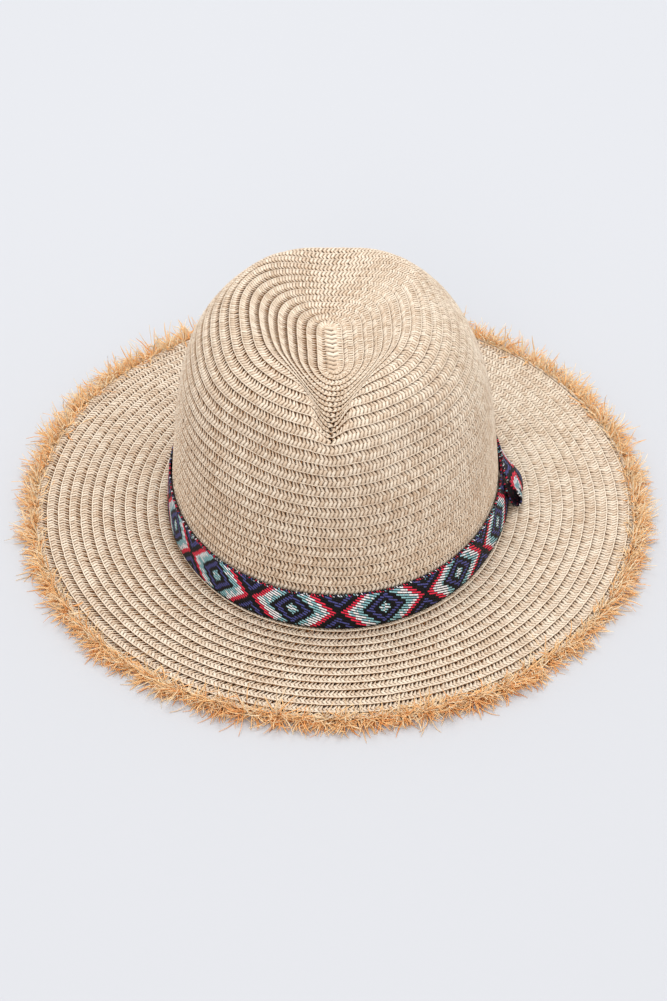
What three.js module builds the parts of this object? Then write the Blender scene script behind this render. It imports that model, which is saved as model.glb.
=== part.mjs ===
// A straw sun hat with a dented crown, a patterned ribbon band and a raffia fringe.
// Millimetres. +Z is up, the front of the hat faces -Y, +X is the wearer's left.
// The origin is on the surface that the hat rests on, under the middle of the brim.

import * as THREE from 'three';

// Driving dimensions of the straw
const crownHalfWidth = 86.4;   // crown wall's outer face at its base, side to side
const crownEndExtra = 20;      // how much further the oval reaches to the front and back
const crownHeight = 114.3;     // base of the crown to the top of the dome, before the dent
const crownLean = 8.5;         // how far the wall leans in from base to top
const domeSquareness = 4.6;    // power of the superellipse from wall to top
const coreHalfLength = 18;     // half of the straight strip of braid that the spiral starts from
const coreRoundness = 25;      // distance from the strip over which the rows turn into ovals
const strawWall = 2;           // two laps of braid
const brimSideWidth = 69.4;    // crown base to the straw's edge, at the sides
const brimEndWidth = 64;       // the same at the front and back
const brimBaseRise = 3.4;      // top of the brim beside the crown, above the surface
const brimEdgeRise = 3.2;      // top of the brim at its edge
const seamGap = 0.3;           // clearance between pieces that touch

// Driving dimensions of the dent in the crown
const ridgeHeight = 112.3;     // crest of the two ridges beside the dent, above the crown's base
const dentOpening = 0.46;      // how fast the dent widens from front to back, mm per mm
const dentHalfWidth = 44;      // widest half width, crest to middle
const dentTipHalfWidth = 9;    // half width of the notch at the front
const dentTipPlace = 0.827;    // front tip of the dent, as a share of the crown's half length
const dentRound = 0.42;        // roundness of the dent's floor, as a share of its half width
const crestRound = 5;          // height over which the dome and the dent blend at the crest
const pinchDepth = 6;          // how far the fingers' pinch pushes the front corners in
const pinchAngle = 34;         // degrees from the front to the middle of each pinch
const pinchSpread = 17;        // degrees
const pinchRise = 88.3;        // middle of each pinch above the crown's base
const pinchTall = 20;          // height of each pinch either way

// Driving dimensions of the ribbon band
const bandHeight = 20;
const bandThick = 1.3;
const foldLength = 37;         // along the band
const foldStand = 8.2;         // how far the pleat stands out from the band
const foldThick = 1.2;
const foldRearPlace = 24;      // rear end of the pleat, behind the middle of the hat

// Driving dimensions of the fringe
const fringeLength = 14;       // straw's edge to the tips of the longest locks
const fringeLap = 7;           // width of the backing sewn under the brim
const backingThick = 0.9;
const lockCount = 80;
const lockRoot = 4.6;          // thickness of a lock at its root
const lockTip = 1.3;
const lockWaist = 0.3;         // depth of the valley between locks, share of a lock's length

// How finely the pieces are faceted
const segments = 60;
const frontDensity = 0.45;     // 0 spreads the columns evenly
const crownRings = 22;
const brimRings = 5;
const profileSteps = 240;

// Worked out from the driving dimensions
const crownBase = brimBaseRise + seamGap;
const crownHalfLength = crownHalfWidth + crownEndExtra;
const bandBase = crownBase + seamGap;
const degree = Math.PI / 180;

// Floor of the dent along the hat. place: share of the crown's half length, front to back;
// height: share of the crown's height.
const dentFloor = [
  { place: -1.03, height: 0.877 },
  { place: -0.80, height: 0.869 },
  { place: -0.56, height: 0.843 },
  { place: -0.23, height: 0.821 },
  { place: 0.19, height: 0.821 },
  { place: 0.56, height: 0.847 },
  { place: 0.85, height: 0.873 },
  { place: 1.13, height: 0.899 },
];

// The middle line of the crown's top wanders to one side, as it was pressed by hand.
// shift: share of the crown's half width.
const topWander = [
  { place: -0.83, shift: -0.036 },
  { place: -0.20, shift: -0.008 },
  { place: 0.20, shift: -0.026 },
  { place: 0.56, shift: -0.012 },
  { place: 0.90, shift: -0.006 },
];

// Path of the pleat's cloth from its rear end, round its front edge and back underneath.
// along: share of foldLength; stand: share of foldStand.
const foldPath = [
  { along: 0.00, stand: 0.00 },
  { along: 0.28, stand: 0.10 },
  { along: 0.52, stand: 0.32 },
  { along: 0.72, stand: 0.65 },
  { along: 0.87, stand: 0.93 },
  { along: 0.96, stand: 0.98 },
  { along: 1.00, stand: 0.72 },
  { along: 0.97, stand: 0.42 },
  { along: 0.84, stand: 0.20 },
  { along: 0.68, stand: 0.10 },
  { along: 0.58, stand: 0.06 },
];

// The pleat at three heights. height: share of bandHeight; open: share of its stand;
// back: how far its front edge falls back, share of foldLength.
const foldLevels = [
  { height: 0.01, open: 0.72, back: 0.00 },
  { height: 0.45, open: 1.00, back: 0.05 },
  { height: 0.98, open: 0.80, back: 0.16 },
];

// One repeat of the fringe's locks. length: share of fringeLength; lean: share of the step
// between locks; lift: height of the tip above the surface, share of a lock's root.
const lockRow = [
  { length: 1.00, lean: 0.22, lift: 0.25 },
  { length: 0.84, lean: -0.16, lift: 0.05 },
  { length: 0.94, lean: 0.10, lift: 0.40 },
  { length: 0.76, lean: -0.04, lift: 0.15 },
  { length: 0.90, lean: -0.24, lift: 0.30 },
];

// Smooth curve through one column of a table, at a value of its place column.
function alongTable(table, column, place) {
  const last = table.length - 1;
  if (place <= table[0].place) return table[0][column];
  if (place >= table[last].place) return table[last][column];
  let k = 0;
  while (place > table[k + 1].place) k += 1;
  const step = table[k + 1].place - table[k].place;
  const u = (place - table[k].place) / step;
  const slopeAt = (i) => {
    const before = table[Math.max(i - 1, 0)];
    const after = table[Math.min(i + 1, last)];
    return (after[column] - before[column]) / (after.place - before.place);
  };
  const rise = u * u * (3 - 2 * u);
  const value = table[k][column] + (table[k + 1][column] - table[k][column]) * rise;
  const bend = slopeAt(k) * u * (1 - u) ** 2 - slopeAt(k + 1) * u * u * (1 - u);
  return value + bend * step;
}

// The lower of two heights, rounded where they meet.
function blendLower(a, b, round) {
  const h = THREE.MathUtils.clamp(0.5 + (b - a) / (2 * round), 0, 1);
  return b * (1 - h) + a * h - round * h * (1 - h);
}

// Plan of a row of braid at a distance r from the strip that the spiral starts from. Near the
// strip a row runs straight along it and round its ends; further out it is an oval.
function rowPlan(r, angle) {
  const straight = Math.max(3 * Math.exp(-r / coreRoundness), 0.001);
  const ends = Math.tanh(straight * Math.cos(angle)) / Math.tanh(straight);
  const grown = Math.min(r / (0.7 * crownHalfWidth), 1);
  const reach = coreHalfLength + (crownEndExtra - coreHalfLength) * grown;
  return [r * Math.sin(angle), -(reach * ends + r * Math.cos(angle))];
}

// Outer radius of the undented crown at a share of its height.
function wallRadius(share) {
  const square = (1 - share ** domeSquareness) ** (1 / domeSquareness);
  return crownHalfWidth * square - crownLean * share;
}

// How far the crown stands to one side at a place along the hat and a share of its height.
function topShift(y, share) {
  return crownHalfWidth * alongTable(topWander, 'shift', y / crownHalfLength) * share ** 2;
}

// The dent's surface above a point of the plan.
function dentSurface(x, y) {
  const place = y / crownHalfLength;
  const tip = -dentTipPlace * crownHalfLength;
  const opened = Math.max(dentTipHalfWidth, dentOpening * (y - tip));
  const halfWidth = blendLower(opened, dentHalfWidth, 2 * crestRound);
  const across = Math.abs(x) / halfWidth;
  const flank = Math.hypot(across, dentRound) - dentRound;
  const climb = flank / (Math.hypot(1, dentRound) - dentRound);
  const floor = crownHeight * alongTable(dentFloor, 'height', place);
  return floor + (ridgeHeight - floor) * climb;
}

// One point of the crown's outer face: from the top (turn 0) to the base (turn a quarter).
function crownPoint(turn, angle) {
  const sum = Math.sin(turn) ** domeSquareness + Math.cos(turn) ** domeSquareness;
  const scale = sum ** (-1 / domeSquareness);
  const share = Math.cos(turn) * scale;
  const fromFront = Math.abs(Math.atan2(Math.sin(angle), Math.cos(angle))) / degree;
  const aroundPinch = ((fromFront - pinchAngle) / pinchSpread) ** 2;
  const abovePinch = ((share * crownHeight - pinchRise) / pinchTall) ** 2;
  let r = crownHalfWidth * Math.sin(turn) * scale;
  r *= 1 - (crownLean / crownHalfWidth) * share;
  r -= pinchDepth * Math.exp(-aroundPinch - abovePinch) * Math.min(1, (2 * r) / crownHalfWidth);
  const [x, y] = rowPlan(r, angle);
  const z = blendLower(share * crownHeight, dentSurface(x, y), crestRound);
  return new THREE.Vector3(x + topShift(y, share), y, crownBase + z);
}

// Points down one side of the crown at even shares of the way, closer together near the top.
function crownProfile(angle) {
  const points = [];
  const way = [0];
  for (let k = 0; k <= profileSteps; k += 1) {
    points.push(crownPoint(((k / profileSteps) * Math.PI) / 2, angle));
    if (k > 0) way.push(way[k - 1] + points[k].distanceTo(points[k - 1]));
  }
  const column = [];
  let k = 0;
  for (let ring = 0; ring <= crownRings; ring += 1) {
    const goal = way[profileSteps] * (ring / crownRings) ** 1.3;
    while (k < profileSteps - 1 && way[k + 1] < goal) k += 1;
    const u = (goal - way[k]) / (way[k + 1] - way[k]);
    column.push(points[k].clone().lerp(points[k + 1], Math.min(u, 1)));
  }
  return column;
}

// Closed body from rings of points, all of one length and running the same way round. Each
// face between four points is split along its shorter diagonal.
// With endless, the last ring joins the first; without, the end rings close by themselves
// or are capped by a fan.
function bodyFromRings(rings, { endless = false, caps = false } = {}) {
  const count = rings[0].length;
  const points = rings.flat();
  const positions = points.flatMap((p) => [p.x, p.y, p.z]);
  const index = [];
  const addQuad = (a, b, c, d) => {
    const shorter = points[a].distanceTo(points[c]) <= points[b].distanceTo(points[d]);
    if (shorter) index.push(a, b, c, a, c, d);
    else index.push(a, b, d, b, c, d);
  };
  const bands = endless ? rings.length : rings.length - 1;
  for (let i = 0; i < bands; i += 1) {
    const low = i * count;
    const high = ((i + 1) % rings.length) * count;
    for (let j = 0; j < count; j += 1) {
      const next = (j + 1) % count;
      addQuad(low + j, high + j, high + next, low + next);
    }
  }
  if (caps) {
    const end = (rings.length - 1) * count;
    for (let j = 1; j < count - 1; j += 1) {
      index.push(0, j, j + 1);
      index.push(end, end + j + 1, end + j);
    }
  }
  const geometry = new THREE.BufferGeometry();
  geometry.setAttribute('position', new THREE.Float32BufferAttribute(positions, 3));
  geometry.setIndex(index);
  return geometry;
}

function finish(color, roughness) {
  return new THREE.MeshStandardMaterial({ color, roughness, metalness: 0 });
}

function named(name, geometry, material) {
  const mesh = new THREE.Mesh(geometry, material);
  mesh.name = name;
  return mesh;
}

// Angles round the hat from its front, closer together there, where the dent is narrow.
function anglesRound(count) {
  const turns = Array.from({ length: count }, (_, j) => (j / count) * 2 * Math.PI);
  return turns.map((turn) => turn - frontDensity * Math.sin(turn));
}

// The crown is a hollow wall of straw: its outer face, the same moved in by the wall, and a
// flat lower edge that stands on the brim.
function makeCrown() {
  const columns = anglesRound(segments).map(crownProfile);
  const outer = [];
  for (let ring = 0; ring <= crownRings; ring += 1) {
    outer.push(columns.map((column) => column[ring]));
  }
  // The two sides of the strip share its points, so they have to be the same points.
  for (let j = 1; j < segments / 2; j += 1) outer[0][segments - j] = outer[0][j].clone();
  const normals = outer.map((ring, i) => ring.map((point, j) => {
    const before = outer[Math.max(i - 1, 0)][j];
    const after = outer[Math.min(i + 1, crownRings)][j];
    const left = ring[(j + segments - 1) % segments];
    const right = ring[(j + 1) % segments];
    const down = after.clone().sub(before);
    return down.cross(right.clone().sub(left)).normalize();
  }));
  normals[0] = normals[1].map((normal, j) => {
    const mirrored = normals[1][(segments - j) % segments];
    return normal.clone().add(mirrored).normalize();
  });
  const inner = outer.map((ring, i) => ring.map((point, j) => {
    const moved = point.clone().addScaledVector(normals[i][j], -strawWall);
    if (i === crownRings) moved.z = crownBase;
    return moved;
  }));
  return bodyFromRings([...outer, ...inner.reverse()]);
}

// Oval through the brim: share 0 is the crown's outer face, 1 the straw's edge.
function brimOval(share, beyond, angle, z) {
  const halfWidth = crownHalfWidth + brimSideWidth * share + beyond;
  const halfLength = crownHalfLength + brimEndWidth * share + beyond;
  return new THREE.Vector3(halfWidth * Math.sin(angle), -halfLength * Math.cos(angle), z);
}

function brimTop(share) {
  return brimBaseRise + (brimEdgeRise - brimBaseRise) * Math.max(share, 0);
}

// The brim is a nearly flat ring of straw, open in the middle for the head.
function makeBrim() {
  const angles = anglesRound(segments);
  const ringAt = (share, beyond, drop) => angles.map(
    (angle) => brimOval(share, beyond, angle, brimTop(share) - drop),
  );
  const rings = [ringAt(0, -strawWall, 0)];
  for (let i = 0; i <= brimRings; i += 1) rings.push(ringAt(i / brimRings, 0, 0));
  for (let i = brimRings; i >= 0; i -= 1) rings.push(ringAt(i / brimRings, 0, strawWall));
  rings.push(ringAt(0, -strawWall, strawWall));
  return bodyFromRings(rings, { endless: true });
}

// A point beside the crown's wall: height above the crown's base, distance out from the wall.
function besideWall(angle, height, out) {
  const share = height / crownHeight;
  const [x, y] = rowPlan(wallRadius(share) + out, angle);
  return new THREE.Vector3(x + topShift(y, share), y, crownBase + height);
}

// The band is a ribbon drawn round the foot of the crown.
function makeBand() {
  const angles = anglesRound(segments);
  const low = bandBase - crownBase;
  const high = low + bandHeight;
  const middle = (low + high) / 2;
  const ringAt = (height, out) => angles.map((angle) => besideWall(angle, height, out));
  const inside = seamGap;
  const outside = seamGap + bandThick;
  return bodyFromRings([
    ringAt(high, inside), ringAt(high, outside), ringAt(middle, outside),
    ringAt(low, outside), ringAt(low, inside), ringAt(middle, inside),
  ], { endless: true });
}

// The ribbon's lapped end, folded back on itself in one puffed pleat beside the band.
function makeBandFold() {
  const stations = foldPath.map((row, k) => {
    const before = foldPath[Math.max(k - 1, 0)];
    const after = foldPath[Math.min(k + 1, foldPath.length - 1)];
    const run = (after.along - before.along) * foldLength;
    const climb = (after.stand - before.stand) * foldStand;
    const reach = Math.hypot(run, climb);
    const side = { along: -climb / reach, stand: run / reach };
    const point = (level, face) => {
      const tip = foldLength * row.along * (1 - level.back);
      const along = tip + (side.along * face * foldThick) / 2;
      const lift = foldStand * row.stand * level.open + (side.stand * face * foldThick) / 2;
      const y = foldRearPlace - along;
      const height = bandBase - crownBase + level.height * bandHeight;
      const out = 2 * seamGap + bandThick + foldThick / 2 + lift;
      const reachFromMiddle = crownEndExtra + wallRadius(height / crownHeight) + out;
      const angle = Math.acos(THREE.MathUtils.clamp(-y / reachFromMiddle, -1, 1));
      return besideWall(angle, height, out);
    };
    const innerFace = foldLevels.map((level) => point(level, -1));
    const outerFace = foldLevels.map((level) => point(level, 1)).reverse();
    return [...innerFace, ...outerFace];
  });
  return bodyFromRings(stations, { caps: true });
}

// The fringe is one piece: a flat backing under the brim's edge and a ring of locks fused to
// it. Its pattern is mirrored about both middle planes.
function makeFringe() {
  const quarter = lockCount / 4;
  const pitch = (2 * Math.PI) / lockCount;
  const columns = [];
  for (let k = 0; k < lockCount; k += 1) {
    const half = k < lockCount / 2 ? k : lockCount - 1 - k;
    const inQuarter = half < quarter ? half : lockCount / 2 - 1 - half;
    const mirrored = (k < lockCount / 2) === (half < quarter) ? 1 : -1;
    const lock = lockRow[Math.floor(inQuarter) % lockRow.length];
    const length = fringeLength * lock.length;
    columns.push({ angle: k * pitch, length: length * lockWaist, lift: 0, root: 0.75 });
    columns.push({
      angle: (k + 0.5 + mirrored * lock.lean) * pitch, length, lift: lock.lift, root: 1,
    });
  }
  const beside = 2 * seamGap;
  const level = (z) => () => z;
  const corners = [
    { reach: () => -fringeLap, z: level(0) },
    { reach: () => -fringeLap, z: level(backingThick) },
    { reach: () => beside, z: level(backingThick) },
    { reach: () => beside, z: (c) => lockRoot * c.root * 0.8 },
    { reach: (c) => beside + c.length * 0.35, z: (c) => lockRoot * c.root },
    { reach: (c) => c.length, z: (c) => lockRoot * c.lift + lockTip },
    { reach: (c) => c.length, z: (c) => lockRoot * c.lift },
    { reach: () => beside, z: level(0) },
  ];
  const rings = corners.map((corner) => columns.map(
    (c) => brimOval(1, corner.reach(c), c.angle, corner.z(c)),
  ));
  return bodyFromRings(rings, { endless: true });
}

const hat = new THREE.Group();
hat.name = 'straw_hat';
const straw = finish(0xd5bfa0, 0.8);
const ribbon = finish(0x2b2f55, 0.85);
hat.add(named('crown', makeCrown(), straw));
hat.add(named('brim', makeBrim(), straw));
hat.add(named('band', makeBand(), ribbon));
hat.add(named('band_fold', makeBandFold(), ribbon));
hat.add(named('fringe', makeFringe(), finish(0xe0ae78, 0.9)));

export default hat;
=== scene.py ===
import math

import bmesh
import bpy
import numpy as np
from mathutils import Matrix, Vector


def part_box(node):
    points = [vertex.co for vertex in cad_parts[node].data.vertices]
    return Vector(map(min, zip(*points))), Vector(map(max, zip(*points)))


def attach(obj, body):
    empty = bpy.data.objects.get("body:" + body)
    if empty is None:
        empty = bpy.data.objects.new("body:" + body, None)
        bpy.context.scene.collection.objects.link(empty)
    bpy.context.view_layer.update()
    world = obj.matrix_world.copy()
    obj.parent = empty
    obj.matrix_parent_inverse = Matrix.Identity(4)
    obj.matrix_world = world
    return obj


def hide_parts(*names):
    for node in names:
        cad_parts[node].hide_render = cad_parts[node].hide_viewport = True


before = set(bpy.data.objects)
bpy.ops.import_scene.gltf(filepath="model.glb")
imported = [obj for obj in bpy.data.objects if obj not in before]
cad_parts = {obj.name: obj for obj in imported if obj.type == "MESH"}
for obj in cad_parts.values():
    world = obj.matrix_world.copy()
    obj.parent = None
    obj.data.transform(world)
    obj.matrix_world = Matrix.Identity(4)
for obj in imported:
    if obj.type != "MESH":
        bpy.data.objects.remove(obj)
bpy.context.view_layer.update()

# Camera
# The hat lies on a table and is seen from in front and above, a little less than halfway up.
# The picture's width of 667 pixels sees the same angle as in the photograph.
picture_width = 667
focal_pixels = 2669
camera_height_angle = math.radians(38.0)
camera_distance = 1.4
camera_aim = Vector((-0.001, 0.0, 0.0))
sight = Vector((0.0, math.cos(camera_height_angle), -math.sin(camera_height_angle)))
camera_data = bpy.data.cameras.new("camera")
camera_data.sensor_fit = "HORIZONTAL"
camera_data.sensor_width = 36.0
camera_data.lens = 36.0 * focal_pixels / picture_width
camera_data.clip_start = 0.05
camera_data.clip_end = 30.0
camera = bpy.data.objects.new("camera", camera_data)
camera.location = camera_aim - sight * camera_distance
camera.rotation_euler = (math.pi / 2 - camera_height_angle, 0.0, 0.0)
bpy.context.collection.objects.link(camera)
bpy.context.scene.camera = camera

# Crown
# The crown is a flat braid of twisted paper straw, about 7.5 mm wide, sewn in one spiral. It
# starts as a straight strip in the floor of the dent, and each turn is lapped over the next.
# The form was pressed on a block: a dent on top and two pinches at the front corners.
mm = 0.001
crown_low, crown_high = (np.array(corner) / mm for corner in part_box("crown"))
crown_half_width = (crown_high[0] - crown_low[0]) / 2
crown_half_length = (crown_high[1] - crown_low[1]) / 2
crown_base = crown_low[2]
crown_end_extra = crown_half_length - crown_half_width
crown_height = 114.3
crown_lean = 8.5
dome_squareness = 4.6
core_half_length = 18.0
core_roundness = 25.0
ridge_height = 112.3
dent_opening = 0.46
dent_half_width = 44.0
dent_tip_half_width = 9.0
dent_tip_place = 0.827
dent_round = 0.42
crest_round = 5.0
pinch_depth = 6.0
pinch_angle = 34.0
pinch_spread = 17.0
pinch_rise = 88.3
pinch_tall = 20.0

# Share of the crown's half length from front to back, and height as a share of the crown's.
dent_floor = [
    (-1.03, 0.877), (-0.80, 0.869), (-0.56, 0.843), (-0.23, 0.821),
    (0.19, 0.821), (0.56, 0.847), (0.85, 0.873), (1.13, 0.899),
]

# The same places, and the top's shift to one side as a share of the crown's half width.
top_wander = [(-0.83, -0.036), (-0.20, -0.008), (0.20, -0.026), (0.56, -0.012), (0.90, -0.006)]


def along_table(table, place):
    places = np.array([row[0] for row in table])
    values = np.array([row[1] for row in table])
    place = np.clip(place, places[0], places[-1])
    k = np.clip(np.searchsorted(places, place, side="right") - 1, 0, len(places) - 2)
    before = np.r_[0, np.arange(len(places) - 1)]
    after = np.r_[np.arange(1, len(places)), len(places) - 1]
    slope = (values[after] - values[before]) / (places[after] - places[before])
    step = places[k + 1] - places[k]
    u = (place - places[k]) / step
    value = values[k] + (values[k + 1] - values[k]) * u * u * (3 - 2 * u)
    return value + step * (slope[k] * u * (1 - u) ** 2 - slope[k + 1] * u * u * (1 - u))


def blend_lower(a, b, rounding):
    h = np.clip(0.5 + (b - a) / (2 * rounding), 0, 1)
    return b * (1 - h) + a * h - rounding * h * (1 - h)


def row_plan(r, angle):
    straight = np.maximum(3 * np.exp(-r / core_roundness), 0.001)
    ends = np.tanh(straight * np.cos(angle)) / np.tanh(straight)
    grown = np.minimum(r / (0.7 * crown_half_width), 1)
    reach = core_half_length + (crown_end_extra - core_half_length) * grown
    return r * np.sin(angle), -(reach * ends + r * np.cos(angle))


def top_shift(y, share):
    return crown_half_width * along_table(top_wander, y / crown_half_length) * share ** 2


def dent_surface(x, y):
    tip = -dent_tip_place * crown_half_length
    opened = np.maximum(dent_tip_half_width, dent_opening * (y - tip))
    half_width = blend_lower(opened, dent_half_width, 2 * crest_round)
    flank = np.hypot(np.abs(x) / half_width, dent_round) - dent_round
    climb = flank / (math.hypot(1, dent_round) - dent_round)
    floor = crown_height * along_table(dent_floor, y / crown_half_length)
    return floor + (ridge_height - floor) * climb


def crown_point(turn, angle):
    total = np.sin(turn) ** dome_squareness + np.cos(turn) ** dome_squareness
    scale = total ** (-1 / dome_squareness)
    share = np.cos(turn) * scale
    from_front = np.degrees(np.abs(np.arctan2(np.sin(angle), np.cos(angle))))
    around_pinch = ((from_front - pinch_angle) / pinch_spread) ** 2
    above_pinch = ((share * crown_height - pinch_rise) / pinch_tall) ** 2
    r = crown_half_width * np.sin(turn) * scale
    r = r * (1 - crown_lean / crown_half_width * share)
    pinch = pinch_depth * np.exp(-around_pinch - above_pinch)
    r = r - pinch * np.minimum(1, 2 * r / crown_half_width)
    x, y = row_plan(r, angle)
    z = blend_lower(share * crown_height, dent_surface(x, y), crest_round)
    return np.stack([x + top_shift(y, share), y, crown_base + z], -1)


# Rows are level round the foot of the crown, and what the dent adds to the way down is taken
# up by the rows above the middle.
crown_rows = 32
crown_row_tightening = 0.05
levelled_share = 0.62
grid_angles = np.linspace(0, 2 * math.pi, 721)
grid_turns = np.linspace(0, math.pi / 2, 500)
grid_steps_per_row = 12


def unit(vectors):
    return vectors / np.maximum(np.linalg.norm(vectors, axis=-1, keepdims=True), 1e-9)


class Face:
    """A sheet of straw by row and angle: its points, its outward side and its two ways."""

    def __init__(self, rows, points):
        self.rows = rows
        self.points = points
        around = np.concatenate([points[:, -2:-1], points, points[:, 1:2]], 1)
        along = around[:, 2:] - around[:, :-2]
        down = np.gradient(points, axis=0)
        self.along = unit(along)
        self.out = unit(np.cross(down, along))
        self.out[0] = self.out[1]
        self.down = unit(np.cross(self.along, self.out))

    def at(self, table, row, angle):
        i = np.clip(row / self.rows, 0, 1) * (len(table) - 1)
        j = np.mod(angle, 2 * math.pi) / (2 * math.pi) * (table.shape[1] - 1)
        i0 = np.minimum(i.astype(int), len(table) - 2)
        j0 = np.minimum(j.astype(int), table.shape[1] - 2)
        u = (i - i0)[..., None]
        v = (j - j0)[..., None]
        near = table[i0, j0] * (1 - v) + table[i0, j0 + 1] * v
        far = table[i0 + 1, j0] * (1 - v) + table[i0 + 1, j0 + 1] * v
        return near * (1 - u) + far * u

    def place(self, row, angle, lift):
        point = self.at(self.points, row, angle)
        out = unit(self.at(self.out, row, angle))
        along = unit(self.at(self.along, row, angle))
        return point + out * np.asarray(lift)[..., None], along, out


def make_crown_face():
    points = crown_point(grid_turns[:, None], grid_angles[None, :])
    steps = np.linalg.norm(np.diff(points, axis=0), axis=-1)
    way = np.concatenate([np.zeros((1, len(grid_angles))), np.cumsum(steps, 0)])
    usual = way[-1].mean()
    row_share = np.linspace(0, 1, crown_rows * grid_steps_per_row + 1)
    row_share = (1 - crown_row_tightening) * row_share + crown_row_tightening * row_share ** 2
    levelled = np.clip(row_share / levelled_share, 0, 1)
    levelled = levelled * levelled * (3 - 2 * levelled)
    table = np.zeros((len(row_share), len(grid_angles), 3))
    for j in range(len(grid_angles)):
        goal = usual * row_share + (way[-1, j] - usual) * levelled
        for axis in range(3):
            table[:, j, axis] = np.interp(goal, way[:, j], points[:, j, axis])
    return Face(crown_rows, table)


class Bundle:
    """Strands gathered for one piece: closed bars with a few sides, as joined arrays."""

    def __init__(self):
        self.points, self.quads, self.tris, self.tones, self.runs = [], [], [], [], []
        self.count = 0

    def add(self, middle, side, up, corners, width, height, tone, run):
        """middle, side, up: strand, station, 3. corners: (across, up) from left over the top."""
        strands, stations = middle.shape[:2]
        n = len(corners)
        across = np.array([c[0] for c in corners])
        above = np.array([c[1] for c in corners])
        shape = (strands, stations, n)
        width = np.broadcast_to(width, (strands, stations))[..., None] * across
        height = np.broadcast_to(height, (strands, stations))[..., None] * above
        points = middle[:, :, None] + side[:, :, None] * width[..., None]
        points = points + up[:, :, None] * height[..., None]
        index = self.count + np.arange(strands * stations * n).reshape(shape)
        turned = np.roll(index, -1, 2)
        quads = np.stack([index[:, :-1], index[:, 1:], turned[:, 1:], turned[:, :-1]], -1)
        self.quads.append(quads.reshape(-1, 4))
        for k in range(1, n - 1):
            first = np.stack([index[:, 0, 0], index[:, 0, k], index[:, 0, k + 1]], -1)
            last = np.stack([index[:, -1, 0], index[:, -1, k + 1], index[:, -1, k]], -1)
            self.tris.extend([first, last])
        self.points.append(points.reshape(-1, 3))
        tone = np.broadcast_to(np.asarray(tone).reshape(-1, 1, 1), shape)
        self.tones.append(tone.reshape(-1))
        run = np.broadcast_to(np.asarray(run)[..., None], shape)
        across_way = np.broadcast_to(across if n == 3 else 0 * across, shape)
        self.runs.append(np.stack([run, across_way], -1).reshape(-1, 2))
        self.count += strands * stations * n

    def make(self, name, material):
        points = np.concatenate(self.points) * mm
        quads = np.concatenate(self.quads)
        tris = np.concatenate(self.tris)
        corners = np.concatenate([quads.reshape(-1), tris.reshape(-1)])
        starts = np.concatenate([
            np.arange(len(quads)) * 4, len(quads) * 4 + np.arange(len(tris)) * 3,
        ])
        mesh = bpy.data.meshes.new(name)
        mesh.vertices.add(len(points))
        mesh.vertices.foreach_set("co", points.astype(np.float32).reshape(-1))
        mesh.loops.add(len(corners))
        mesh.loops.foreach_set("vertex_index", corners.astype(np.int32))
        mesh.polygons.add(len(starts))
        mesh.polygons.foreach_set("loop_start", starts.astype(np.int32))
        mesh.polygons.foreach_set("use_smooth", np.ones(len(starts), bool))
        mesh.update(calc_edges=True)
        mesh.validate()
        tone = mesh.attributes.new("tone", "FLOAT", "POINT")
        tone.data.foreach_set("value", np.concatenate(self.tones).astype(np.float32))
        runs = np.concatenate(self.runs)[corners]
        layer = mesh.uv_layers.new(name="run")
        layer.uv.foreach_set("vector", runs.astype(np.float32).reshape(-1))
        mesh.materials.append(material)
        piece = bpy.data.objects.new(name, mesh)
        bpy.context.collection.objects.link(piece)
        return piece


class Value:
    """A socket that takes part in sums; each sum adds its own maths node."""

    def __init__(self, tree, socket):
        self.tree = tree
        self.socket = socket

    def sum(self, operation, *others):
        node = self.tree.nodes.new("ShaderNodeMath")
        node.operation = operation
        for slot, value in zip(node.inputs, (self, *others)):
            if isinstance(value, Value):
                self.tree.links.new(value.socket, slot)
            else:
                slot.default_value = value
        return Value(self.tree, node.outputs[0])

    def __add__(self, other):
        return self.sum("ADD", other)

    __radd__ = __add__

    def __mul__(self, other):
        return self.sum("MULTIPLY", other)

    __rmul__ = __mul__

    def __sub__(self, other):
        return self.sum("SUBTRACT", other)

    def __rsub__(self, other):
        return self * -1 + other

    def __truediv__(self, other):
        return self.sum("DIVIDE", other)

    def __gt__(self, other):
        return self.sum("GREATER_THAN", other)

    def __lt__(self, other):
        return self.sum("LESS_THAN", other)

    def clamped(self):
        node = self.sum("ADD", 0.0)
        node.socket.node.use_clamp = True
        return node


class Finish:
    """A material under construction, with one way to add any node."""

    def __init__(self, name):
        self.material = bpy.data.materials.new(name)
        self.material.use_nodes = True
        self.tree = self.material.node_tree
        self.shader = self.tree.nodes["Principled BSDF"]

    def node(self, kind, settings=None, values=None, output=0):
        node = self.tree.nodes.new(kind)
        for key, value in (settings or {}).items():
            if key == "stops":
                ramp = node.color_ramp
                while len(ramp.elements) < len(value):
                    ramp.elements.new(0.5)
                for element, (place, colour) in zip(ramp.elements, value):
                    element.position = place
                    element.color = (*colour, 1.0)
            else:
                setattr(node, key, value)
        for key, value in (values or {}).items():
            self.join(value, node.inputs[key])
        return Value(self.tree, node.outputs[output])

    def join(self, value, slot):
        if isinstance(value, Value):
            self.tree.links.new(value.socket, slot)
        elif slot.type == "RGBA":
            slot.default_value = (*value, 1.0)
        else:
            slot.default_value = value

    def mix(self, share, low, high):
        values = {0: share, 6: low, 7: high}
        return self.node("ShaderNodeMix", {"data_type": "RGBA"}, values, output=2)

    def set(self, **values):
        for key, value in values.items():
            self.join(value, self.shader.inputs[key.replace("_", " ")])


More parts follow.
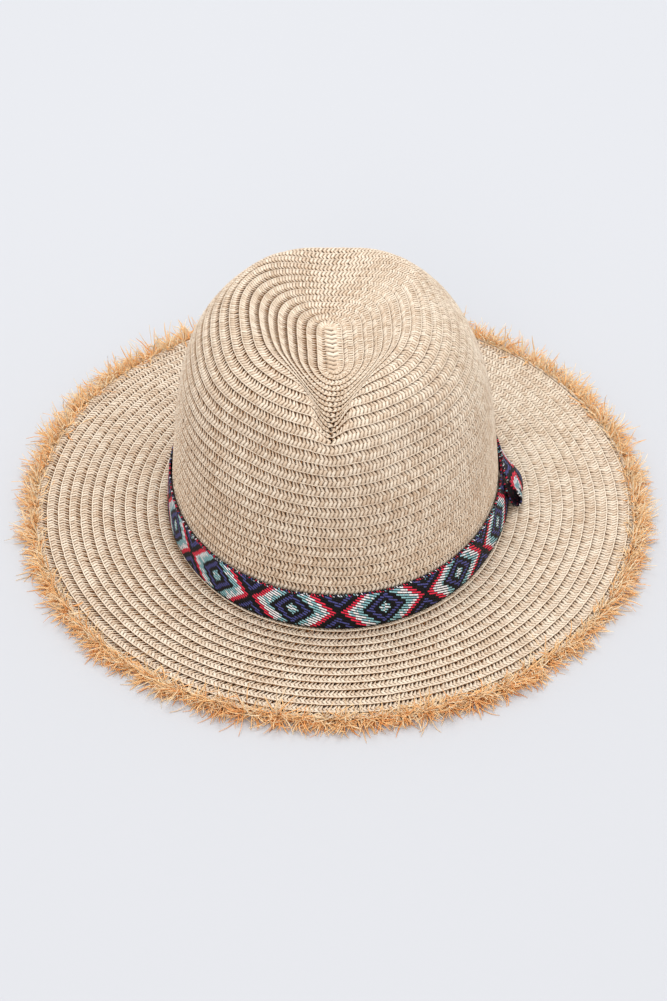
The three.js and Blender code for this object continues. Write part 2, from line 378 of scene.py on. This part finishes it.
def make_straw(name, pale, deep, edge_shade_colour, behind):
    straw = Finish(name)
    tone = straw.node("ShaderNodeAttribute", {"attribute_name": "tone"}, output=2)
    run = straw.node("ShaderNodeUVMap", {"uv_map": "run"})
    place = straw.node("ShaderNodeTexCoord", output=3)
    fibre_way = straw.node("ShaderNodeMapping", {}, {"Vector": run, "Scale": (0.8, 2.2, 1.0)})
    fibre = straw.node("ShaderNodeTexNoise", {}, {
        "Vector": fibre_way, "Scale": 1.6, "Detail": 3.0, "Roughness": 0.6,
    })
    patch = straw.node("ShaderNodeTexNoise", {}, {
        "Vector": place, "Scale": 60.0, "Detail": 2.0,
    })
    mood = (tone * 0.70 + (fibre - 0.5) * 1.3 + (patch - 0.5) * 0.7 + 0.25).clamped()
    colour = straw.mix(mood, deep, pale)
    # Each strand darkens towards its long edges: painted shade for the valleys between neighbouring
    # strands.
    sides = straw.node("ShaderNodeSeparateXYZ", {}, {"Vector": run}, output=1)
    edge_shade = ((sides.sum("ABSOLUTE") - 0.70) * 4.0).clamped()
    colour = straw.mix(edge_shade * 0.75, colour, edge_shade_colour)
    # The strands behind have tones under zero and take a deeper, warmer brown than the front straw:
    # painted shade for the gaps in the braid.
    hidden = (tone * -2.0).clamped()
    colour = straw.mix(hidden, colour, behind)
    bump = straw.node("ShaderNodeBump", {}, {
        "Strength": 0.6, "Distance": 0.0002, "Height": fibre,
    })
    straw.set(Base_Color=colour, Roughness=0.42 + 0.3 * fibre, Normal=bump)
    return straw.material


straw_pale = (0.855, 0.725, 0.57)
straw_deep = (0.56, 0.39, 0.25)
# The strands behind are the same straw, painted a deeper, warmer brown as shade in the gaps.
straw_behind_shade = (0.62, 0.30, 0.11)
# The edge colour is painted shade along each strand's long edges.
straw_edge_shade = (0.40, 0.20, 0.08)
straw_material = make_straw("straw", straw_pale, straw_deep, straw_edge_shade, straw_behind_shade)

# One cell of braid, as shares of a row from the edge of the row above to this row's own edge:
# how far down, half width of the strand, half thickness, depth under the outer face, and
# shift along the row. Every other strand leans towards the next, so gaps are wide and narrow.
# Each strand lies tilted with one side over the next, as slats do.
# A stitch crosses each strand's outer end and turns the other way, round the row's edge.
cell_length = 2.12
crown_strands = [
    (-0.34, 0.56, 0.30, 1.80, -0.90),
    (0.03, 0.68, 0.36, 1.38, -0.70),
    (0.22, 0.86, 0.36, 1.12, -0.30),
    (0.38, 1.16, 0.32, 1.02, 0.04),
    (0.64, 1.12, 0.26, 1.00, 0.66),
]
crown_stitches = [
    (0.40, 0.60, 0.20, 1.06, 0.92),
    (0.60, 1.08, 0.30, 0.84, 0.36),
    (1.01, 0.98, 0.30, 0.62, -0.72),
]
strand_gap = 0.21
strand_wobble = 0.16
lift_wobble = 0.06
back_table = [(-0.30, 0.86, 0.22, 2.25, 0.85), (0.96, 0.86, 0.22, 1.50, -0.85)]
cord_depth = 0.64
crown_cord_radius = 0.26
crown_cord_tone = 0.65
strand_corners = [(-1.0, -0.45), (0.0, 1.0), (1.0, -0.45)]
slat_corners = [(-1.05, -0.90), (0.70, 1.0), (1.0, 0.1)]
cord_corners = [
    (math.cos(math.radians(a)), math.sin(math.radians(a))) for a in (180, 108, 36, -36, -108)
]


class Spiral:
    """The cells of a spiral of braid: angle and row of each, a cell length apart."""

    def __init__(self, face, start):
        turns = face.rows + 0.85 - start
        turn = np.linspace(0, turns, round(turns * 720) + 1)
        angle = 2 * math.pi * turn
        points = face.at(face.points, start + turn, angle)
        way = np.r_[0, np.cumsum(np.linalg.norm(np.diff(points, axis=0), axis=1))]
        count = round(way[-1] / cell_length)
        turn = np.interp(np.arange(count) / count * way[-1], way, turn)
        self.face = face
        self.angle = 2 * math.pi * turn
        self.row = start + turn
        self.parity = np.where(np.arange(count) % 2 == 0, 1.0, -1.0)


def sew_braid(spiral, first, last, tables, cord, random, bundle):
    """Strands, stitches, the strands behind and the edge cord between two rows of a spiral."""
    face = spiral.face
    cord_radius, cord_tone = cord
    chosen = (spiral.row >= first) & (spiral.row < last)
    angle, row = spiral.angle[chosen], spiral.row[chosen]
    parity = spiral.parity[chosen][:, None]
    count = len(angle)
    tone = random.uniform(0, 1, count)
    ahead = face.at(face.points, row, angle + 0.01) - face.at(face.points, row, angle)
    length_of_turn = np.linalg.norm(ahead, axis=1)[:, None] / 0.01
    layers = [
        (tables[0], slat_corners, strand_gap, 1.0, 0.0),
        (tables[1], strand_corners, 0.0, 1.0, 0.1),
        # The strands behind get tones under zero, so the straw paints them in its shade brown.
        (back_table, strand_corners, 0.0, 0.2, -0.7),
    ]
    for table, corners, gap, tone_span, tone_base in layers:
        down, half_width, half_height, depth, shift = np.array(table).T
        upper = 1 - np.clip(down / 0.5, 0, 1)
        wobble = random.normal(0, strand_wobble, (count, 1)) * upper + gap * parity * upper
        turned = angle[:, None] + (shift + wobble) / length_of_turn
        at_row = np.clip(row[:, None] - 1 + down, 0.12, face.rows + 0.02 * (down - 1))
        lift = random.normal(0, lift_wobble, (count, 1)) - depth
        middle, along, up = face.place(at_row, turned, lift)
        tilt = unit(np.gradient(middle, axis=1))
        side = unit(np.cross(up, tilt))
        width = half_width * (1 + 0.12 * parity * upper) * random.uniform(0.92, 1.08, (count, 1))
        steps = np.linalg.norm(np.diff(middle, axis=1, prepend=middle[:, :1]), axis=2)
        run = np.cumsum(steps, 1) + random.uniform(0, 50, (count, 1))
        shade = random.permutation(tone) * tone_span + tone_base
        bundle.add(middle, side, up, corners, width, half_height, shade, run)
    wave = 0.02 * np.sin(angle * 9) + random.normal(0, 0.015, count) - 0.02
    beat = cord_radius * (1 + 0.16 * parity[:, 0] + random.normal(0, 0.08, count))
    middle, along, up = face.place(row + wave, angle, np.full(count, -cord_depth))
    side = np.cross(up, along)
    run = np.arange(count) * cell_length
    middle, side, up, beat, run = (part[None] for part in (middle, side, up, beat, run))
    bundle.add(middle, side, up, cord_corners, beat, beat, cord_tone, run)


random = np.random.default_rng(20)
crown_face = make_crown_face()
crown_spiral = Spiral(crown_face, 0.71)
crown_parts = {
    "crown_dent_braid": (0, 13),
    "crown_middle_braid": (13, 23),
    "crown_foot_braid": (23, 34),
}
for piece_name, (first, last) in crown_parts.items():
    bundle = Bundle()
    tables = (crown_strands, crown_stitches)
    cord = (crown_cord_radius, crown_cord_tone)
    sew_braid(crown_spiral, first, last, tables, cord, random, bundle)
    piece = bundle.make(piece_name, straw_material)
    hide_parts("crown")
    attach(piece, "root")

# Strip
# The spiral's first run of braid lies straight along the floor of the dent, one braid wide. Its
# strands cross from one edge to the other, and the first turn is sewn on round it.
strip_half_width = 3.9
strip_half_length = 20.0
strip_pitch = 1.8 * cell_length
strip_strand_height = 0.42

# A strand's places as shares of the half width, each with its depth under the face and its
# shift along the strip.
strip_table = [
    (-1.0, 1.3, 1.3), (-0.5, 0.75, 0.2), (0.0, 0.6, -0.9), (0.5, 0.75, 0.2), (1.0, 1.3, 1.3),
]
strip_places = np.arange(-strip_half_length, strip_half_length, strip_pitch)
strip_count = len(strip_places)
across, strip_depth, strip_shift = np.array(strip_table).T
strip_y = strip_places[:, None] + strip_shift[None, :]
strip_x = strip_half_width * across[None, :] + 0 * strip_y
strip_z = crown_base + dent_surface(strip_x, strip_y) - strip_depth
strip_x = strip_x + top_shift(strip_y, 1.0)
strip_middle = np.stack([strip_x, strip_y, strip_z], -1)
strip_tilt = unit(np.gradient(strip_middle, axis=1))
strip_up = unit(np.cross(strip_tilt, np.array([0.0, 1.0, 0.0])))
strip_side = np.cross(strip_up, strip_tilt)
strip_tone = random.uniform(0, 1, strip_count)
strip_run = np.cumsum(np.full(strip_y.shape, 2.0), 1) + random.uniform(0, 50, (strip_count, 1))
strip_width = random.uniform(1.45, 1.70, (strip_count, 1))
bundle = Bundle()
bundle.add(
    strip_middle, strip_side, strip_up, slat_corners, strip_width, strip_strand_height,
    strip_tone, strip_run,
)
strip = bundle.make("crown_strip", straw_material)
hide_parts("crown")
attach(strip, "root")

# Brim
# The brim is the same braid sewn on round the foot of the crown, nearly flat, with each row
# lapped over the next one out.
brim_low, brim_high = (np.array(corner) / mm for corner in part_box("brim"))
rim_half_width = (brim_high[0] - brim_low[0]) / 2
rim_half_length = (brim_high[1] - brim_low[1]) / 2
brim_edge_rise = 3.2
brim_base_rise = 3.4
brim_rows = 12
hidden_rows = 1
brim_cord_radius = 0.34
brim_cord_tone = 1.0


def make_brim_face():
    rows = brim_rows + hidden_rows
    share = np.linspace(-hidden_rows / brim_rows, 1, rows * grid_steps_per_row + 1)[:, None]
    half_width = crown_half_width + (rim_half_width - crown_half_width) * share
    half_length = crown_half_length + (rim_half_length - crown_half_length) * share
    x = half_width * np.sin(grid_angles)
    y = -half_length * np.cos(grid_angles)
    z = brim_base_rise + (brim_edge_rise - brim_base_rise) * share + 0 * grid_angles
    return Face(rows, np.stack([x, y, z], -1))


brim_face = make_brim_face()
brim_spiral = Spiral(brim_face, 0.3)
brim_strands = [
    (-0.34, 0.56, 0.30, 1.84, 1.40),
    (0.03, 0.66, 0.36, 1.46, 0.90),
    (0.22, 0.80, 0.38, 1.18, 0.45),
    (0.42, 1.00, 0.34, 1.04, -0.12),
    (0.66, 1.04, 0.28, 1.00, -0.80),
]
brim_stitches = [
    (0.42, 0.60, 0.20, 1.06, -1.05),
    (0.60, 1.02, 0.30, 0.84, -0.50),
    (1.01, 0.92, 0.30, 0.60, 0.95),
]
brim_parts = {"brim_inner_braid": (0, 8), "brim_outer_braid": (8, 14)}
for piece_name, (first, last) in brim_parts.items():
    bundle = Bundle()
    tables = (brim_strands, brim_stitches)
    cord = (brim_cord_radius, brim_cord_tone)
    sew_braid(brim_spiral, first, last, tables, cord, random, bundle)
    piece = bundle.make(piece_name, straw_material)
    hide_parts("brim")
    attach(piece, "root")

# Band
# A woven ribbon 20 mm wide is drawn round the foot of the crown. Its pattern of lozenges is
# woven in slightly slanted threads of black, violet, red, pale and sea-green, with dark edges.
band_low, band_high = (np.array(corner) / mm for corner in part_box("band"))
band_width = band_high[2] - band_low[2]
ribbon_gap = 0.45
ribbon_thick = 0.9
pattern_length = 45.9
pattern_start = 1.6
seam_place = 6.0


def beside_wall(angle, height, out):
    share = height / crown_height
    square = (1 - share ** dome_squareness) ** (1 / dome_squareness)
    x, y = row_plan(crown_half_width * square - crown_lean * share + out, angle)
    return np.stack([x + top_shift(y, share), y, crown_base + height + 0 * x], -1)


def colour_of(red, green, blue):
    """A colour given as the eye sees it, in hundredths, as the shader needs it."""
    return tuple((level / 100) ** 2.2 for level in (red, green, blue))


def make_ribbon():
    ribbon = Finish("woven_ribbon")
    weave = ribbon.node("ShaderNodeUVMap", {"uv_map": "weave"})
    along = ribbon.node("ShaderNodeSeparateXYZ", {}, {"Vector": weave})
    across = Value(ribbon.tree, along.socket.node.outputs[1])
    half = pattern_length / 2
    in_repeat = (along - pattern_start + half).sum("FLOORED_MODULO", pattern_length) - half
    from_cross = in_repeat.sum("ABSOLUTE")

    # Threads run nearly along the band. Each changes colour by the pattern at its own middle,
    # and dips under a cross thread at the end of every dash.
    thread_pitch = 1.52
    thread_slant = 0.38
    dash_length = 2.7
    slanted = (across + in_repeat * thread_slant) / thread_pitch
    thread_number = slanted.sum("FLOOR")
    in_thread = slanted - thread_number
    dashes = in_repeat / dash_length + thread_number * 0.38
    dash_number = dashes.sum("FLOOR")
    in_dash = dashes - dash_number
    half_number = ((along - pattern_start) / half).sum("FLOOR")
    key = ribbon.node("ShaderNodeCombineXYZ", {}, {"X": thread_number, "Y": half_number})
    uneven = ribbon.node("ShaderNodeTexWhiteNoise", {"noise_dimensions": "3D"}, {"Vector": key})
    other_key = ribbon.node("ShaderNodeCombineXYZ", {}, {
        "X": thread_number, "Y": half_number, "Z": dash_number,
    })
    other = ribbon.node("ShaderNodeTexWhiteNoise", {"noise_dimensions": "3D"}, {
        "Vector": other_key,
    })
    thread_middle = (thread_number + 0.5) * thread_pitch - in_repeat * thread_slant
    level = thread_middle.sum("ABSOLUTE")
    place = from_cross - level * 1.1 + (uneven - 0.5) * 0.9
    black = colour_of(2, 2, 6)
    violet = colour_of(30, 31, 55)
    red = colour_of(95, 20, 31)
    pale = colour_of(99, 99, 100)
    sea = colour_of(57, 78, 81)
    lowest, span = -12.0, 36.0
    bands = [
        (-12.0, sea), (-9.2, black), (-6.0, violet), (-3.2, black), (0.7, red), (3.8, pale),
        (7.2, sea), (10.9, black), (13.5, violet), (16.2, black), (19.2, sea),
    ]
    stops = [((start - lowest) / span, colour) for start, colour in bands]
    ramp = ribbon.node("ShaderNodeValToRGB", {"stops": stops}, {"Fac": (place - lowest) / span})
    ramp.socket.node.color_ramp.interpolation = "CONSTANT"
    mixed_yarn = (place > 3.8) * (place < 10.9)
    pale_yarn = place + (other - 0.5) * 6.0 < 7.4
    colour = ribbon.mix(mixed_yarn, ramp, ribbon.mix(pale_yarn, sea, pale))
    eye = (place > 20.0) * (other > 0.5)
    colour = ribbon.mix(eye * 0.85, colour, pale)
    thread_way = ribbon.node("ShaderNodeMapping", {}, {"Vector": weave, "Scale": (0.7, 2.4, 1.0)})
    thread = ribbon.node("ShaderNodeTexNoise", {}, {
        "Vector": thread_way, "Scale": 1.0, "Detail": 2.0,
    })

    # Dark selvedges, with a row of slanting beads of coloured yarn along the upper one.
    from_middle = across.sum("ABSOLUTE")
    colour = ribbon.mix(from_middle > band_width / 2 - 0.7, colour, black)
    bead_pitch = 1.3
    bead_way = (along + across * 0.8) / bead_pitch
    bead_number = bead_way.sum("FLOOR")
    in_bead = bead_way - bead_number
    bead_hue = ribbon.node("ShaderNodeTexWhiteNoise", {"noise_dimensions": "1D"}, {
        "W": bead_number,
    })
    bead_stops = [(0.0, red), (0.42, pale), (0.66, sea), (0.80, violet)]
    bead_colour = ribbon.node("ShaderNodeValToRGB", {"stops": bead_stops}, {"Fac": bead_hue})
    bead_colour.socket.node.color_ramp.interpolation = "CONSTANT"
    bead = (across > band_width / 2 - 0.8) * (in_bead < 0.42)
    colour = ribbon.mix(bead, colour, bead_colour)
    swell = in_thread * (1 - in_thread) * 4
    dip = (in_dash * (1 - in_dash) * 16).clamped()
    shade = (swell * 3.4 - 2.4 + dip * 0.6 + (thread - 0.5) * 0.9).clamped()
    colour = ribbon.mix(shade, black, colour)
    relief = swell * dip + thread * 0.6
    bump = ribbon.node("ShaderNodeBump", {}, {
        "Strength": 0.9, "Distance": 0.0003, "Height": relief,
    })
    ribbon.set(Base_Color=colour, Roughness=0.72 - 0.2 * thread, Normal=bump)
    ribbon.set(Specular_IOR_Level=0.25)
    return ribbon.material


def make_ribbon_back():
    back = Finish("woven_ribbon_back")
    weave = back.node("ShaderNodeUVMap", {"uv_map": "weave"})
    way = back.node("ShaderNodeMapping", {}, {"Vector": weave, "Scale": (0.5, 1.3, 1.0)})
    fleck = back.node("ShaderNodeTexNoise", {}, {"Vector": way, "Scale": 1.6, "Detail": 1.0})
    colour = back.mix(((fleck - 0.60) * 12.0).clamped(), colour_of(9, 8, 14), colour_of(60, 16, 24))
    bump = back.node("ShaderNodeBump", {}, {
        "Strength": 0.8, "Distance": 0.0003, "Height": fleck,
    })
    back.set(Base_Color=colour, Roughness=0.65 + 0.2 * fleck, Normal=bump)
    back.set(Specular_IOR_Level=0.25)
    return back.material


ribbon_materials = [make_ribbon(), make_ribbon_back()]


def make_ribbon_piece(name, stations, levels, shape, weave_at, turned=False):
    """A strip of ribbon: shape(u, v) places a point, weave_at(u, v) its place in the weave."""
    form = bmesh.new()
    bmesh.ops.create_grid(form, x_segments=stations, y_segments=levels, size=1.0)
    layer = form.loops.layers.uv.new("weave")
    shares = {v: ((v.co.x + 1) / 2, (v.co.y + 1) / 2) for v in form.verts}
    for face in form.faces:
        face.smooth = True
        for loop in face.loops:
            loop[layer].uv = weave_at(*shares[loop.vert])
    for vert, (u, v) in shares.items():
        vert.co = Vector(shape(u, v)) * mm
    if turned:
        bmesh.ops.reverse_faces(form, faces=form.faces)
    mesh = bpy.data.meshes.new(name)
    form.to_mesh(mesh)
    form.free()
    for material in ribbon_materials:
        mesh.materials.append(material)
    piece = bpy.data.objects.new(name, mesh)
    bpy.context.collection.objects.link(piece)
    solid = piece.modifiers.new("cloth", "SOLIDIFY")
    solid.thickness = ribbon_thick * mm
    solid.offset = 0.0
    solid.use_even_offset = True
    solid.material_offset = 1
    return piece


band_angles = np.linspace(0, 2 * math.pi, 1441)
band_out = ribbon_gap + ribbon_thick / 2
band_foot = band_low[2] - crown_base
band_line = beside_wall(band_angles, band_foot + band_width / 2, band_out)
band_way = np.r_[0, np.cumsum(np.linalg.norm(np.diff(band_line, axis=0), axis=1))]
band_length = band_way[-1]
right_side = band_angles < math.pi
seam_way = np.interp(seam_place, band_line[right_side, 1], band_way[right_side])

# Beside the pleat the ribbon's lower edge is drawn away from the crown.
flare_places = [
    (0.0, 0.0), (60.0, 0.0), (105.0, 0.6), (135.0, 2.4), (152.0, 2.9), (178.0, 0.9), (200.0, 0.0),
]


def band_point(u, v):
    way = seam_way + u * band_length
    angle = np.interp(way % band_length, band_way, band_angles)
    lean = 0.18 * math.sin(way * 0.21) + 0.12 * math.sin(way * 0.57 + 1.0)
    swell = 0.30 * math.sin(math.pi * v)
    flare = along_table(flare_places, way % band_length) * (1 - v) ** 1.3
    height = band_foot + band_width * v + 0.25 * math.sin(way * 0.083) * (v - 0.5)
    return beside_wall(np.array(angle), height, band_out + swell + flare + lean * v * 0.5)


def band_weave(u, v):
    return seam_way + (u - 1) * band_length, band_width * (v - 0.5)


band = make_ribbon_piece("ribbon_band", 420, 8, band_point, band_weave)
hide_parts("band")
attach(band, "root")

# Fold
# Where the ribbon's ends meet on the right of the crown, the rear end is lapped over the front
# one. It leans out face up, rolls over at its outer side and is tucked back under itself.

# Each station is a place along the ribbon, and gives for the upper edge and for the lower edge
# how far behind the hat's middle it lies, how far it stands out and how high it is.
fold_stations = [
    ((32.0, 0.1, 20.6), (34.0, 0.4, 0.3)),
    ((22.0, 0.1, 20.7), (27.0, 2.3, 2.0)),
    ((13.0, 0.1, 20.8), (20.5, 4.7, 4.3)),
    ((5.0, 0.1, 20.8), (14.0, 7.3, 6.6)),
    ((-2.0, 0.3, 20.8), (8.0, 9.2, 7.6)),
    ((-8.0, 0.9, 19.8), (2.5, 9.9, 6.4)),
    ((-11.2, 3.2, 16.4), (-1.0, 9.7, 4.0)),
    ((-11.6, 6.6, 11.4), (2.0, 8.4, 1.6)),
    ((-10.6, 9.2, 5.6), (6.0, 6.4, 1.0)),
    ((-11.4, 8.2, 1.8), (8.0, 4.0, 0.7)),
    ((-12.2, 5.2, 2.4), (8.0, 2.2, 0.7)),
    ((-11.8, 2.8, 8.0), (7.0, 1.1, 1.0)),
    ((-12.4, 0.9, 16.5), (6.0, 0.7, 6.0)),
]
fold_cross_station = 4
fold_puff = 0.9
fold_levels = np.array(fold_stations)
fold_middle = fold_levels.mean(axis=1)
fold_steps = np.linalg.norm(np.diff(fold_middle, axis=0), axis=1)
fold_way = np.r_[0, np.cumsum(fold_steps)]
fold_tables = [
    [list(zip(fold_way, fold_levels[:, edge, axis])) for axis in range(3)] for edge in range(2)
]
fold_cross_place = fold_way[fold_cross_station]


def fold_point(u, v):
    upper, lower = (
        np.array([along_table(table, u * fold_way[-1]) for table in edge]) for edge in fold_tables
    )
    behind, stand, rise = lower + (upper - lower) * v
    stand = stand + fold_puff * 4 * v * (1 - v) * min(stand / 4, 1)
    height = band_foot + rise
    out = band_out + ribbon_thick + stand
    share = height / crown_height
    wall = crown_half_width * (1 - share ** dome_squareness) ** (1 / dome_squareness)
    reach = crown_end_extra + wall - crown_lean * share + out
    angle = math.acos(max(-1, min(1, -behind / reach)))
    return beside_wall(np.array(angle), height, out)


def fold_weave(u, v):
    return pattern_start + fold_cross_place - u * fold_way[-1], band_width * (v - 0.5)


fold = make_ribbon_piece("ribbon_fold", 56, 10, fold_point, fold_weave, turned=True)
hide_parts("band_fold")
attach(fold, "root")

# Fringe
# Short cut strands of raffia, some 10 mm long, stand out all round the edge of the brim. They
# are sewn to a flat woven tape under the rim and lie in loose tufts, and a few cross its edge.
strand_total = 9600
strand_stations = 5
strand_taper = np.array([1.0, 1.0, 0.92, 0.75, 0.25])
strand_half_height = 0.14
lowest_strand = 0.35
crossing_share = 0.12
crossing_height = 3.3
fringe_random = np.random.default_rng(7)


def rim_frame(angle):
    """The rim's point at an angle, the way out from it and the way along it."""
    level = 0 * angle
    sine = np.sin(angle)
    cosine = np.cos(angle)
    point = np.stack([rim_half_width * sine, -rim_half_length * cosine, level], -1)
    way = unit(np.stack([rim_half_width * cosine, rim_half_length * sine, level], -1))
    return point, np.stack([way[..., 1], -way[..., 0], level], -1), way


def waves(angle, seeds, low, high):
    """Smooth uneven variation round the rim, between -1 and 1."""
    total = 0 * angle
    for phase, count in zip(seeds, np.linspace(low, high, len(seeds))):
        total = total + np.sin(angle * round(count) + phase)
    return total / math.sqrt(len(seeds)) / 1.3


def make_raffia():
    raffia = Finish("raffia")
    tone = raffia.node("ShaderNodeAttribute", {"attribute_name": "tone"}, output=2)
    run = raffia.node("ShaderNodeUVMap", {"uv_map": "run"})
    way = raffia.node("ShaderNodeMapping", {}, {"Vector": run, "Scale": (0.5, 2.0, 1.0)})
    fibre = raffia.node("ShaderNodeTexNoise", {}, {"Vector": way, "Scale": 2.0, "Detail": 2.0})
    stops = [
        (0.0, (0.66, 0.22, 0.05)), (0.25, (0.96, 0.44, 0.14)), (0.6, (1.0, 0.63, 0.29)),
        (1.0, (1.0, 0.86, 0.62)),
    ]
    mood = (tone * 0.9 + (fibre - 0.5) * 0.5).clamped()
    colour = raffia.node("ShaderNodeValToRGB", {"stops": stops}, {"Fac": mood})
    bump = raffia.node("ShaderNodeBump", {}, {
        "Strength": 0.5, "Distance": 0.0002, "Height": fibre,
    })
    raffia.set(Base_Color=colour, Roughness=0.5 + 0.25 * fibre, Normal=bump)
    return raffia.material


def grow_raffia(first, last, bundle):
    count = round(strand_total * (last - first) / (2 * math.pi))
    draw = fringe_random.uniform
    angle = draw(first, last, count)
    tuft = waves(angle, [0.3, 1.9, 4.0, 2.2, 5.1], 61, 97)
    bunch = waves(angle, [1.3, 0.4, 3.0], 23, 37)
    lean = np.radians(fringe_random.normal(0, 32, count))
    lean = lean + 0.95 * waves(angle, [2.0, 5.5, 0.9], 70, 98)
    rise = np.radians(np.clip(fringe_random.normal(22, 22, count) + 10 * tuft, -12, 80))
    length = np.clip(fringe_random.normal(10.0, 2.8, count) + 2.6 * tuft + 1.4 * bunch, 4, 18.0)
    inset = draw(-1.2, 1.2, count)
    root_height = np.where(inset < 0, draw(0.6, 1.3, count), draw(0.7, 3.0, count))
    over = draw(0, 1, count) < crossing_share
    inset = np.where(over, draw(-1.5, 0.5, count), inset)
    root_height = np.where(over, crossing_height, root_height)
    lean = np.where(over, lean * 2.2, lean)
    under_rise = np.where(inset < 0, np.minimum(rise, 0.25), rise)
    rise = np.where(over, np.maximum(rise, 0.30), under_rise)
    length = np.where(over, length * 0.6, length)
    point, out, way = rim_frame(angle)
    root = point + out * inset[:, None]
    root[:, 2] = root_height
    middle = np.zeros((count, strand_stations, 3))
    heading = np.zeros((count, strand_stations, 3))
    bend = np.radians(fringe_random.normal(0, 45, count))
    bend = bend + 0.9 * waves(angle, [0.7, 3.3, 4.4], 55, 110)
    droop = np.radians(fringe_random.normal(12, 40, count))
    place = root.copy()
    for k in range(strand_stations):
        share = k / (strand_stations - 1)
        turn = lean + bend * share
        climb = rise - droop * share
        flat = out * np.cos(turn)[:, None] + way * np.sin(turn)[:, None]
        step = flat * np.cos(climb)[:, None]
        step[:, 2] = np.sin(climb)
        if k:
            place = place + step * (length / (strand_stations - 1))[:, None]
        place[:, 2] = np.maximum(place[:, 2], lowest_strand)
        middle[:, k] = place
        heading[:, k] = step
    twist = draw(-0.9, 0.9, count)
    up = np.zeros_like(middle)
    up[..., 2] = 1.0
    side = unit(np.cross(up, heading))
    up = unit(np.cross(heading, side))
    turned = side * np.cos(twist)[:, None, None] + up * np.sin(twist)[:, None, None]
    up = unit(np.cross(heading, turned))
    width = draw(0.18, 0.42, count)[:, None] * strand_taper
    height = np.full((count, strand_stations), strand_half_height)
    # Strands that lie higher are paler and lower ones darker: painted light from above and painted
    # shade near the table.
    depth = np.clip((middle[:, 2, 2] - 0.5) / 5.0, 0, 1)
    tone = np.clip(draw(0.12, 0.92, count) + 0.34 * depth - 0.20 * tuft, 0.0, 1)
    steps = np.linalg.norm(np.diff(middle, axis=1, prepend=middle[:, :1]), axis=2)
    run = np.cumsum(steps, 1) + draw(0, 50, (count, 1))
    bundle.add(middle, turned, up, strand_corners, width, height, tone, run)


raffia_material = make_raffia()
raffia_parts = {"raffia_left": (math.pi, 2 * math.pi), "raffia_right": (0, math.pi)}
for piece_name, (first, last) in raffia_parts.items():
    bundle = Bundle()
    grow_raffia(first, last, bundle)
    piece = bundle.make(piece_name, raffia_material)
    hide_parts("fringe")
    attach(piece, "root")

# Tape
# The raffia's roots are stitched to this flat woven tape, some 7 mm wide, which is sewn on
# under the last row of the brim.
tape_angles = np.linspace(0, 2 * math.pi, 361)
tape_point, tape_out, _ = rim_frame(tape_angles)
tape_profile = [
    (-7.0, 0.25), (-7.0, 0.75), (-6.0, 0.9), (-0.6, 0.9), (0.2, 0.8), (0.2, 0.25), (-3.0, 0.0),
]
tape_upper_sides = (1, 2, 3)
tape_run_step = 2.8
tape_across_step = 2.0
tape_form = bmesh.new()
tape_layer = tape_form.loops.layers.uv.new("run")
tape_rings = []
for reach, height in tape_profile:
    ring = tape_point[:-1] + tape_out[:-1] * reach + np.array([0.0, 0.0, height])
    tape_rings.append([tape_form.verts.new(Vector(p) * mm) for p in ring])
for k, ring in enumerate(tape_rings):
    beyond = tape_rings[(k + 1) % len(tape_rings)]
    for j in range(len(ring)):
        after = (j + 1) % len(ring)
        face = tape_form.faces.new([ring[j], ring[after], beyond[after], beyond[j]])
        face.smooth = k in tape_upper_sides
        for loop, (a, b) in zip(face.loops, ((j, k), (j + 1, k), (j + 1, k + 1), (j, k + 1))):
            loop[tape_layer].uv = (a * tape_run_step, b * tape_across_step)
bmesh.ops.recalc_face_normals(tape_form, faces=tape_form.faces)
tape_mesh = bpy.data.meshes.new("fringe_tape")
tape_form.to_mesh(tape_mesh)
tape_form.free()
tape_finish = Finish("fringe_tape")
tape_run = tape_finish.node("ShaderNodeUVMap", {"uv_map": "run"})
tape_weave = tape_finish.node("ShaderNodeTexChecker", {}, {
    "Vector": tape_run, "Scale": 1.1,
}, output=1)
tape_noise = tape_finish.node("ShaderNodeTexNoise", {}, {
    "Vector": tape_run, "Scale": 3.0, "Detail": 3.0,
})
tape_colour = tape_finish.mix(tape_noise, (0.55, 0.25, 0.09), (0.86, 0.50, 0.24))
tape_bump = tape_finish.node("ShaderNodeBump", {}, {
    "Strength": 0.7, "Distance": 0.0002, "Height": tape_weave * 0.6 + tape_noise,
})
tape_finish.set(Base_Color=tape_colour, Roughness=0.6 + 0.25 * tape_noise, Normal=tape_bump)
tape_mesh.materials.append(tape_finish.material)
tape = bpy.data.objects.new("fringe_tape", tape_mesh)
bpy.context.collection.objects.link(tape)
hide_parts("fringe")
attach(tape, "root")

# Table and light
# A plain pale table top, soft light from all round, one large soft light overhead and one
# in front.
floor_mesh = bpy.data.meshes.new("floor")
floor_form = bmesh.new()
bmesh.ops.create_grid(floor_form, x_segments=1, y_segments=1, size=6.0)
floor_form.to_mesh(floor_mesh)
floor_form.free()
floor = bpy.data.objects.new("floor", floor_mesh)
bpy.context.collection.objects.link(floor)
floor_finish = Finish("floor")
floor_finish.set(Base_Color=(0.532, 0.535, 0.552), Roughness=0.8)
floor_mesh.materials.append(floor_finish.material)

world = bpy.data.worlds.new("studio")
world.use_nodes = True
surround = world.node_tree.nodes["Background"]
surround.inputs["Color"].default_value = (0.96, 0.95, 0.96, 1.0)
surround.inputs["Strength"].default_value = 1.05
bpy.context.scene.world = world


def add_light(name, place, aim, size, power, colour):
    data = bpy.data.lights.new(name, "AREA")
    data.size = size
    data.energy = power
    data.color = colour
    light = bpy.data.objects.new(name, data)
    light.location = place
    direction = Vector(aim) - Vector(place)
    light.rotation_euler = direction.to_track_quat("-Z", "Y").to_euler()
    bpy.context.collection.objects.link(light)


add_light("top", (0.0, 0.6, 2.2), (0, 0, 0), 1.2, 28.0, (0.90, 0.96, 1.0))
add_light("front", (-0.3, -2.7, 1.4), (0, 0, 0), 1.6, 18.0, (1.0, 0.97, 0.95))
bpy.context.scene.view_settings.view_transform = "Standard"
